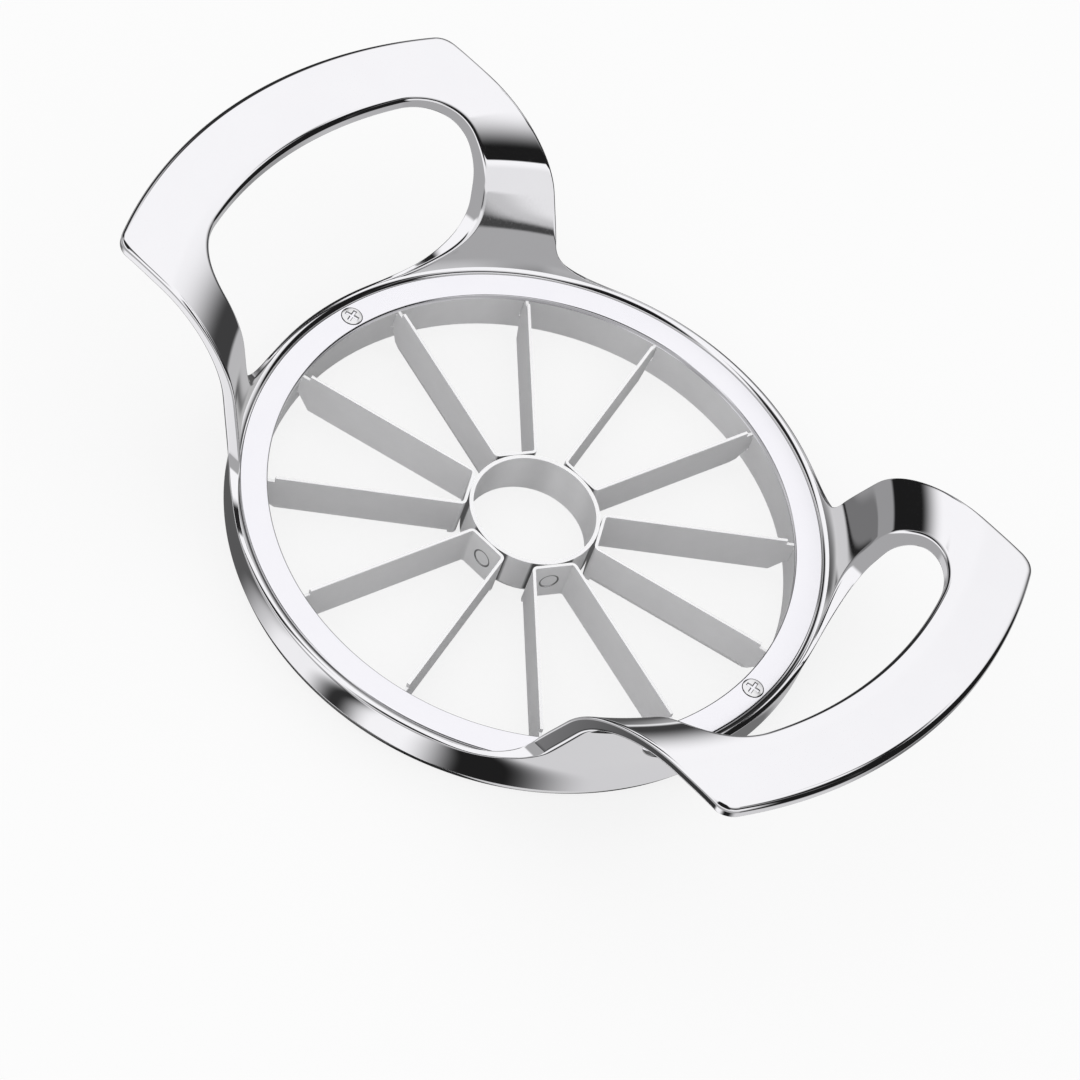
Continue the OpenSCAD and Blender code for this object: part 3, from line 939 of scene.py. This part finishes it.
# Panels, each over the ones before: the side that azimuths count from, azimuths from right
# to left, elevations, softness of the right and left edges, softness of the lower and upper
# edges, and brightness. None is an open end.
AROUND = (None, None)
PANELS = [
    # floor further off, seen by the handles
    ("ahead", AROUND, (None, -14), (0, 0), (0, 3), 0.40),
    ("ahead", (-75, -17), (-50, -21), (8, 4), (6, 3), 0.50),
    ("ahead", (-14, 9), (-50, -14), (4, 3), (6, 3), 0.10),
    ("ahead", (15, 36), (-50, -7), (4, 4), (6, 3), 0.14),
    ("ahead", (34, 84), (-50, -7), (3, 8), (3, 3), 0.32),
    ("ahead", (34, 84), (-50, -31.5), (3, 8), (3, 0.8), 0.18),
    ("ahead", (34, 84), (-37.6, -35.8), (3, 8), (0.7, 0.5), 0.015),
    ("ahead", (34, 84), (-52, -37.8), (3, 8), (3, 1.2), 0.63),
    # floor close by, seen by the skirt
    ("ahead", AROUND, (None, -48), (0, 0), (0, 2), 0.66),
    ("ahead", (16, 84), (None, -49), (8, 14), (0, 1.5), 0.10),
    ("ahead", (-64, -28), (-60, -48), (12, 10), (2, 2), 0.17),
    ("ahead", (-28, 12), (None, -48), (10, 8), (0, 2), 0.45),
    ("ahead", (99, 140), (None, -48), (6, 6), (0, 2), 0.92),
    ("behind", (-40, 30), (None, -48), (8, 4), (0, 2), 0.98),
    ("ahead", (127, 145), (None, -48), (8, 8), (0, 2), 0.03),
    ("behind", (-2, 46), (None, -48), (13, 18), (0, 2), 0.014),
    # dark floor under the object
    ("ahead", (-29, 29), (None, -58), (4, 4), (0, 3), 0.02),
    # wall ahead: dark low down, brighter higher up
    ("ahead", (-52, -4), (-20, 29), (6, 5), (3, 26), 0.05),
    ("ahead", (-4, 17), (-10, 20), (5, 4), (3, 20), 0.05),
    ("ahead", (15, 78), (-11, 28.5), (4, 8), (2, 10), 0.012),
    ("ahead", (15, 33), (18, 41), (3, 3), (4, 2), 0.03),
    # dark panel on the left
    ("ahead", (80, 124), (4, 62), (6, 5), (4, 6), 0.02),
    # wall on the right: bright strips and a dark line under a dark panel that fades upwards
    ("ahead", (-175, -97), (17, 52), (10, 4), (0.8, 20), 0.012),
    ("ahead", (-175, -118), (-21, 10), (10, 4), (1, 4), 0.84),
    ("ahead", (-175, -118), (-21.5, -19.4), (10, 4), (1, 0.5), 0.58),
    ("ahead", (-175, -118), (-23.2, -20.7), (10, 4), (0.6, 0.6), 0.06),
    # dark panels between the right and the wall ahead
    ("ahead", (-98, -50), (-42, 60), (5, 4), (3, 3), 0.012),
    ("ahead", (-115, -94), (-42, 30), (4, 4), (3, 3), 0.012),
    ("ahead", (-60, -16), (53, 57.5), (3, 4), (1.5, 1.5), 0.012),
    # dark wall behind the camera
    ("behind", (-30, 22), (3, 82), (7, 8), (3, 5), 0.012),
]


def studio_world():
    """Plain soft light, with the panels for glossy rays and white for the camera."""
    soft_light = 0.95
    world = bpy.data.worlds.new("studio")
    bpy.context.scene.world = world
    world.use_nodes = True
    t = world.node_tree
    t.nodes.clear()

    def dot(vector, axis):
        node = new_node(t, "ShaderNodeVectorMath", operation="DOT_PRODUCT", in1=axis)
        t.links.new(vector, node.inputs[0])
        return node.outputs["Value"]

    def degrees(angle):
        return calc(t, "MULTIPLY", angle, 180 / math.pi)

    def negative(value):
        return calc(t, "MULTIPLY", value, -1.0)

    def edge(value, at, soft):
        return spread(t, value, (at - soft, at + soft), (0.0, 1.0), interpolation_type="SMOOTHSTEP")

    def panel_mask(azimuth, elevation, azimuths, elevations, soft_sides, soft_ends):
        mask = None
        for value, limits, softs in ((azimuth, azimuths, soft_sides),
                                     (elevation, elevations, soft_ends)):
            for at, soft, upper in zip(limits, softs, (False, True)):
                if at is None:
                    continue
                part = edge(value, at, soft)
                if upper:
                    part = calc(t, "SUBTRACT", 1.0, part)
                mask = part if mask is None else calc(t, "MULTIPLY", mask, part)
        return mask

    def shader_mix(factor, a, b):
        node = new_node(t, "ShaderNodeMixShader")
        for k, output in enumerate((factor, a.outputs[0], b.outputs[0])):
            t.links.new(output, node.inputs[k])
        return node

    direction = new_node(t, "ShaderNodeTexCoord").outputs["Generated"]
    leftwards, onwards = dot(direction, LEFT), dot(direction, AHEAD)
    elevation = degrees(calc(t, "ARCSINE", dot(direction, (0, 0, 1))))
    azimuth_from = {
        "ahead": degrees(calc(t, "ARCTAN2", leftwards, onwards)),
        "behind": degrees(calc(t, "ARCTAN2", negative(leftwards), negative(onwards))),
    }
    level = 1.0
    for side, *shape, brightness in PANELS:
        mask = panel_mask(azimuth_from[side], elevation, *shape)
        change = calc(t, "MULTIPLY", mask, calc(t, "SUBTRACT", brightness, level))
        level = calc(t, "ADD", level, change)
    mirrored = new_node(t, "ShaderNodeBackground", in0=(1.0, 0.995, 1.0, 1))
    t.links.new(level, mirrored.inputs[1])
    plain = new_node(t, "ShaderNodeBackground", in0=(1, 1, 1, 1), in1=soft_light)
    white = new_node(t, "ShaderNodeBackground", in0=(1, 1, 1, 1), in1=1.0)
    ray = new_node(t, "ShaderNodeLightPath").outputs
    lit = shader_mix(ray["Is Glossy Ray"], plain, mirrored)
    seen = shader_mix(ray["Is Camera Ray"], lit, white)
    t.links.new(seen.outputs[0], new_node(t, "ShaderNodeOutputWorld").inputs[0])


studio_world()

# The camera, fitted to the photograph: focal length in the photograph's pixels, place in
# metres, and the directions of the picture's right, of its lower edge and into the picture
FOCAL_PX, PHOTO_PX, SENSOR_MM = 4477.31, 1080, 36
CAMERA_AT = Vector((0.23329, -0.48193, 0.67846))
CAMERA_RIGHT = Vector((0.70509914, 0.66833383, 0.23699178))
CAMERA_DOWN = Vector((0.65693116, -0.48982641, -0.57315926))
CAMERA_AHEAD = Vector((-0.26697689, 0.55982139, -0.78442549))

cam_data = bpy.data.cameras.new("camera")
cam_data.sensor_width = SENSOR_MM
cam_data.lens = FOCAL_PX / PHOTO_PX * SENSOR_MM
cam_data.clip_start = 0.01
cam_data.clip_end = 20
camera = bpy.data.objects.new("camera", cam_data)
turned = Matrix((CAMERA_RIGHT, -CAMERA_DOWN, -CAMERA_AHEAD)).transposed()
camera.matrix_world = Matrix.Translation(CAMERA_AT) @ turned.to_4x4()
bpy.context.scene.collection.objects.link(camera)
bpy.context.scene.camera = camera
bpy.context.scene.view_settings.view_transform = "Standard"
